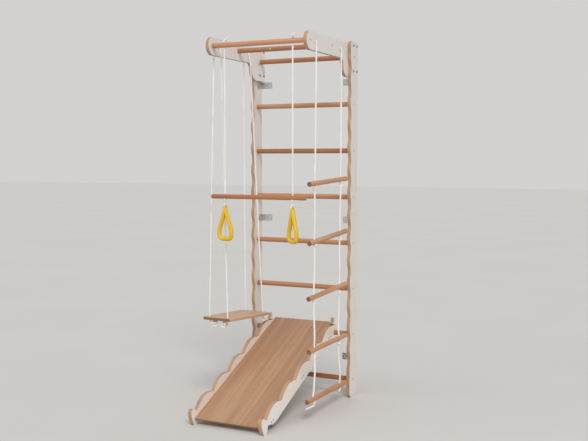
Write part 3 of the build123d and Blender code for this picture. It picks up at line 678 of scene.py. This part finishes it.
for side, x, roll, turn, tail_x, replaced in TRAPEZE:
    top_knot = knot(mm(x, FRONT_BAR_Y, TOP_KNOT_Z), DOWN, size=2.9, roll=roll)
    low_knot = knot(mm(x, FRONT_BAR_Y, LOW_KNOT_Z), DOWN, size=2.6, roll=roll + 1.0)
    path = offsets(top_knot[0], ((13, 3, 9), (7, 1, 7))) + top_knot
    path += [mm(x, FRONT_BAR_Y, z) for z in ROPE_RUN_Z] + low_knot
    path += tail(low_knot[-1], (tail_x, -0.45, 0.45), length=11, droop=0.0)
    rope = make_rope(f"trapeze_rope_{side}_twisted", [path], radius=5.0)
    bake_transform(rope)
    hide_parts(*replaced)

    loop = make_rope(f"ring_loop_{side}_cord", [ring_loop(x, turn)], radius=3.3, closed=True)
    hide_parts(f"ring_loop_{side}")
    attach(loop, f"{side}_ring_loop")


# --------------------------------------------------- rope ladder
# where the ladder and swing ropes cross the canopy arms
FRONT_CROSSING_Y = -575.0
REAR_CROSSING_Y = -225.0
CROSSING_Z = 2105

LADDER_X = 326.0
ARM_INNER_X = 296
# per rung: front end (y, z), rear end (y, z), y of the (front, rear) ropes
LADDER = (
    ((-665.0, 1318.0), (-141.0, 1340.0), (-590.0, -227.0)),
    ((-664.0, 993.0), (-138.0, 1026.0), (-600.0, -237.0)),
    ((-675.0, 688.0), (-140.0, 707.0), (-603.0, -247.0)),
    ((-670.0, 393.0), (-148.0, 395.0), (-600.0, -247.0)),
    ((-692.0, 117.0), (-150.0, 107.0), (-609.0, -241.0)),
)
# (sideways bow, S-bend) of each length of rope: front, rear
SWAY = (
    ((0, 0), (0, 0)),
    ((1.5, -1), (-1.5, 1)),
    ((2, 1.5), (1, -2)),
    ((2.5, -1.5), (-2, 1.5)),
    ((6, 2), (2, -5)),
)
# end of the bottom front rope, trailing forwards near the floor: x from LADDER_X, y, z
TRAILING_END = ((4, -616, 79), (3, -644, 80), (1, -674, 81), (-1, -702, 81))
LAST = len(LADDER) - 1


def ladder_top(y, roll):
    """Knot inside the arm, then the rope out through it and over its outer side."""
    inner = knot(mm(ARM_INNER_X - 10.6, y, CROSSING_Z), Vector((1, 0, 0)), size=3.1,
                 roll=roll + 0.5)
    return offsets(inner[0], ((-16, 6, -15), (-9, 3, -6))) + inner + [
        mm(306, y, CROSSING_Z), mm(315, y, 2104.5), mm(322.5, y, 2101.5),
        mm(LADDER_X + 0.4, y, 2094), mm(LADDER_X + 0.2, y - 0.3, 2080)]


def ladder_length(i, end, start):
    """Rope from start through rung i to its knot. end is 0 in front, 1 at the rear.

    Returns the path and the point where the next length starts.
    """
    front, rear, rope_ys = LADDER[i]
    y = rope_ys[end]
    t = (y - front[0]) / (rear[0] - front[0])
    rung = mm(LADDER_X, y, front[1] + (rear[1] - front[1]) * t)
    along = (rung - start).normalized()
    roll = 0.9 * i + (2.1 if end else 0.0)
    if i == 0:
        path = ladder_top((FRONT_CROSSING_Y, REAR_CROSSING_Y)[end], roll)
    else:
        path = [start + along * (1.0 * MM)]
    leave = path[-1].copy()
    bow, bend = SWAY[i][end]
    for k in range(1, 5):
        f = k / 5
        path.append(leave.lerp(rung, f) + Vector((math.sin(f * math.pi) * bow * MM, 0, 0))
                    + Vector((math.sin(2 * f * math.pi) * bend * MM, 0, 0)))
    if i == LAST and end == 0:
        tied = knot(mm(LADDER_X + 3, -603, 89), Vector((0.2, 0.25, -0.95)), size=3.1, roll=0.8)
        loose = [mm(LADDER_X + x, y, z) for x, y, z in TRAILING_END]
    else:
        tied = knot(rung + along * (25.0 * MM), along, size=3.0, roll=roll)
        if i == LAST:
            loose = tail(tied[-1], (0.5, 0.7, -0.1), length=10, droop=0.4)
        else:
            sign = -1 if (i + end) % 2 else 1
            loose = tail(tied[-1], (0.35, sign * 0.9, -0.2), length=13, droop=0.5)
    return path + [rung] + tied + loose, rung + along * (25.3 * MM)


starts = [mm(LADDER_X, -578.0, CROSSING_Z), mm(LADDER_X, -230.0, CROSSING_Z)]
for i in range(len(LADDER)):
    paths = []
    for end in (0, 1):
        path, starts[end] = ladder_length(i, end, starts[end])
        paths.append(path)
    ropes = make_rope(f"ladder_ropes_{i + 1}_twisted", paths, radius=5.3)
    if i == 0:
        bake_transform(ropes)
        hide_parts("ladder_ropes_1", "ladder_top_knots")
    else:
        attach(ropes, f"ladder_{i + 1}")
        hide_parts(f"ladder_ropes_{i + 1}")


# --------------------------------------------------- swing ropes: seat, arm, seat in one length
SEAT_CENTRE = (-288.8, -388.0, 504.2)
SEAT_HOLE_X = 62.5              # from the seat's centre
SEAT_HOLE_Y = 206.5
SEAT_UNDERSIDE = -9
# the rope over the arm, from its left side to its right: x, z
ARCH = (
    (-325.5, 2070), (-325.2, 2090), (-322.0, 2101), (-315, 2104.8),
    (-300, 2104.8), (-292.5, 2101.5), (-288, 2092), (-284.5, 2072),
)
# name, end of the seat in y, y of the arm crossing, pieces replaced
SWING = (
    ("front", -1, FRONT_CROSSING_Y, ("swing_rope_front", "swing_saddles")),
    ("rear", 1, REAR_CROSSING_Y, ("swing_rope_rear",)),
)


def seat_point(side, end, rise):
    """Point over a seat hole, rise mm above the seat's middle plane."""
    along_x = side * SEAT_HOLE_X
    along_y = end * SEAT_HOLE_Y
    y = along_y * math.cos(SEAT_PITCH) - rise * math.sin(SEAT_PITCH)
    z = along_y * math.sin(SEAT_PITCH) + rise * math.cos(SEAT_PITCH)
    return mm(SEAT_CENTRE[0] + along_x * math.cos(SEAT_YAW) - y * math.sin(SEAT_YAW),
              SEAT_CENTRE[1] + along_x * math.sin(SEAT_YAW) + y * math.cos(SEAT_YAW),
              SEAT_CENTRE[2] + z)


def hank(side, end):
    """Spare rope wound inwards under the seat, then tied off."""
    inward = -side
    start_x, turns, steps = (17, 3.25, 40) if side < 0 else (7, 2.25, 30)
    path = [seat_point(side, end, -10), seat_point(side, end, -15.5) + mm(inward * 5, -2, 0)]
    centre = seat_point(side, end, SEAT_UNDERSIDE - 15.6) + mm(inward * start_x, 3, 0)
    for i in range(steps + 1):
        f = i / steps
        angle = 2 * math.pi * turns * f + 1.2
        radius = 10.2 + 1.0 * math.sin(5.1 * f + side)
        # 10.6 is the pitch of the winding
        path.append(centre + Vector((inward * (f * 10.6 * turns + 2.0 * math.sin(angle)),
                                     -radius * math.sin(angle) * 1.25,
                                     radius * math.cos(angle) * 0.9)) * MM)
    return path + offsets(path[-1], ((inward * 6, -6, -3), (-inward * 4, -11, -9),
                                     (-inward * 20, -10, -10)))


def seat_knot(side, end):
    """Rope through the seat to a knot under it."""
    tied = knot(seat_point(side, end, SEAT_UNDERSIDE - 11.5), DOWN, size=2.9,
                roll=1.1 * side + end)
    loose = tail(tied[-1], (0.85 * side, 0.5, -0.1), length=16, droop=0.4)
    return [seat_point(side, end, -8)] + tied + loose


def swing_leg(side, end, crossing_y):
    """Rope from below the arm down through the seat."""
    low = seat_point(side, end, 0)
    high = mm(-326.5 if side < 0 else -281.5, crossing_y, CROSSING_Z)
    along = (low - high).normalized()
    leg = [high + along * (distance * MM) for distance in (60, 110, 400, 800, 1200)]
    leg += [low + Vector((0, 0, 0.012)), low]
    return leg + (hank(side, end) if end < 0 else seat_knot(side, end))


for name, end, crossing_y, replaced in SWING:
    path = list(reversed(swing_leg(-1, end, crossing_y)))
    path += [mm(x, crossing_y, z) for x, z in ARCH]
    path += swing_leg(1, end, crossing_y)
    rope = make_rope(f"swing_rope_{name}_twisted", [path], radius=4.7)
    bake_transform(rope)
    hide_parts(*replaced)


# =============================================================== studio
FLOOR_HALF = 40.0
FLOOR_Z = -0.0005
CAMERA_DOWN = 3.93              # degrees below level
CAMERA_TURN = 25.97             # degrees about Z


def make_floor():
    s = Shader("studio_floor")
    cloud = s.noise(scale=0.8, detail=4.0)
    s.set({
        "Base Color": s.ramp(cloud, (0.2, (0.62, 0.615, 0.60)), (0.8, (0.66, 0.655, 0.645))),
        "Roughness": 0.75,
    })
    corners = ((-1, -1), (1, -1), (1, 1), (-1, 1))
    mesh = bpy.data.meshes.new("studio_floor")
    mesh.from_pydata([(x * FLOOR_HALF, y * FLOOR_HALF, FLOOR_Z) for x, y in corners], [],
                     [(0, 1, 2, 3)])
    floor = bpy.data.objects.new("studio_floor", mesh)
    bpy.context.scene.collection.objects.link(floor)
    give(floor, s.material)


def make_world():
    """Soft white light all round, with a plain grey where the camera sees it."""
    world = bpy.data.worlds.new("studio")
    world.use_nodes = True
    tree = world.node_tree
    light = tree.nodes["Background"]
    light.inputs["Color"].default_value = (0.97, 0.965, 0.96, 1)
    light.inputs["Strength"].default_value = 0.57
    seen = tree.nodes.new("ShaderNodeBackground")
    seen.inputs["Color"].default_value = (0.655, 0.64, 0.63, 1)
    seen.inputs["Strength"].default_value = 1.0
    rays = tree.nodes.new("ShaderNodeLightPath")
    mixed = tree.nodes.new("ShaderNodeMixShader")
    tree.links.new(rays.outputs["Is Camera Ray"], mixed.inputs[0])
    tree.links.new(light.outputs[0], mixed.inputs[1])
    tree.links.new(seen.outputs[0], mixed.inputs[2])
    tree.links.new(mixed.outputs[0], tree.nodes["World Output"].inputs["Surface"])
    bpy.context.scene.world = world


def sun(name, towards, spread, strength, colour):
    """Sun lamp; towards points from the frame to the sun, spread is in degrees."""
    lamp = bpy.data.lights.new(name, "SUN")
    lamp.angle = math.radians(spread)
    lamp.energy = strength
    lamp.color = colour
    obj = bpy.data.objects.new(name, lamp)
    bpy.context.scene.collection.objects.link(obj)
    obj.rotation_euler = (-Vector(towards)).to_track_quat("-Z", "Y").to_euler()


def make_camera():
    lens = bpy.data.cameras.new("camera")
    lens.sensor_width = 36.0
    lens.lens = 53.8714286
    lens.clip_end = 100
    camera = bpy.data.objects.new("camera", lens)
    bpy.context.scene.collection.objects.link(camera)
    camera.location = (2.3498, -5.0098, 1.4499)
    camera.rotation_euler = Euler(
        (math.radians(90 - CAMERA_DOWN), 0, math.radians(CAMERA_TURN)), "XYZ")
    bpy.context.scene.camera = camera


make_floor()
make_world()
sun("key", towards=(1.95, -2.45, 3.1), spread=24, strength=1.6, colour=(1.0, 0.97, 0.935))
sun("fill", towards=(-2.6, -2.6, 1.4), spread=60, strength=0.40, colour=(0.97, 0.975, 1.0))
make_camera()
bpy.context.scene.view_settings.view_transform = "Standard"

bpy.context.view_layer.update()
